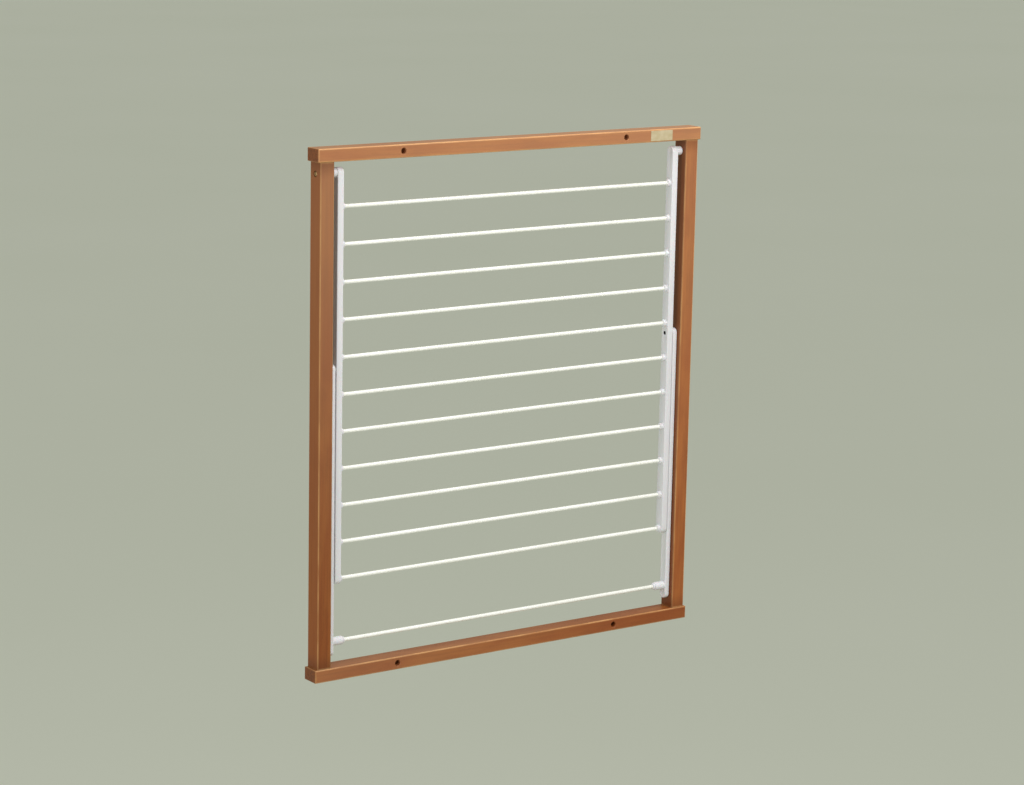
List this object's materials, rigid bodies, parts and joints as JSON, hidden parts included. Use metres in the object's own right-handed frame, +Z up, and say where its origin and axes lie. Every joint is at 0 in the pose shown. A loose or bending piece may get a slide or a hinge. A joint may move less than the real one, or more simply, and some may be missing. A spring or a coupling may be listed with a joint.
{
  "type": "wall mounted folding drying rack",
  "caption": "Flat wooden wall frame with a hinged panel of white rods that lifts out to horizontal on a pivoted support frame.",
  "frame": {"origin": "centre of the four wall screw holes, on the wall plane", "axes": "+X to the right seen from the room, +Y into the wall, +Z up"},
  "size_m": [0.7, 0.0314, 0.798],
  "materials": {
    "stained_wood": "satin",
    "pale_wood": "matte",
    "white_plastic": "satin",
    "coated_steel": "gloss",
    "steel": "satin",
    "nylon": "matte",
    "label": "matte"
  },
  "bodies": {
    "wall_frame": {"top_rail": "stained_wood", "bottom_rail": "stained_wood", "left_stile": "stained_wood", "right_stile": "stained_wood", "corner_dowels": "pale_wood", "blank_label": "label", "left_hinge_screw": "steel", "right_hinge_screw": "steel"},
    "rod_panel": {"left_side_bar": "white_plastic", "right_side_bar": "white_plastic", "drying_rod_01": "coated_steel", "drying_rod_02": "coated_steel", "drying_rod_03": "coated_steel", "drying_rod_04": "coated_steel", "drying_rod_05": "coated_steel", "drying_rod_06": "coated_steel", "drying_rod_07": "coated_steel", "drying_rod_08": "coated_steel", "drying_rod_09": "coated_steel", "drying_rod_10": "coated_steel", "drying_rod_11": "coated_steel", "left_arm_pivot": "steel", "right_arm_pivot": "steel", "left_arm_washer": "nylon", "right_arm_washer": "nylon"},
    "support_frame": {"left_support_arm": "white_plastic", "right_support_arm": "white_plastic", "support_cross_rod": "coated_steel", "left_guide_pin": "steel", "right_guide_pin": "steel"},
    "left_roller": {"left_guide_roller": "nylon"},
    "right_roller": {"right_guide_roller": "nylon"}
  },
  "joints": [
    {"name": "panel_hinge", "type": "hinge", "parent": "wall_frame", "child": "rod_panel", "pos_m": [0, -0.0155, 0.3615], "axis": [-1, 0, 0], "range_deg": [0, 90]},
    {"name": "support_hinge", "type": "hinge", "parent": "rod_panel", "child": "support_frame", "pos_m": [0, -0.0155, 0.0723], "axis": [1, 0, 0], "range_deg": [0, 132.39]},
    {"name": "left_roller_slide", "type": "slide", "parent": "wall_frame", "child": "left_roller", "axis": [0, 0, 1], "range_m": [0, 0.4014]},
    {"name": "right_roller_slide", "type": "slide", "parent": "wall_frame", "child": "right_roller", "axis": [0, 0, 1], "range_m": [0, 0.4014]}
  ],
  "couplings": [
    {"joint": "support_hinge", "follows": "panel_hinge", "ratio": 1.471},
    {"joint": "left_roller_slide", "follows": "panel_hinge", "m_per_rad": 0.2555},
    {"joint": "right_roller_slide", "follows": "panel_hinge", "m_per_rad": 0.2555}
  ]
}
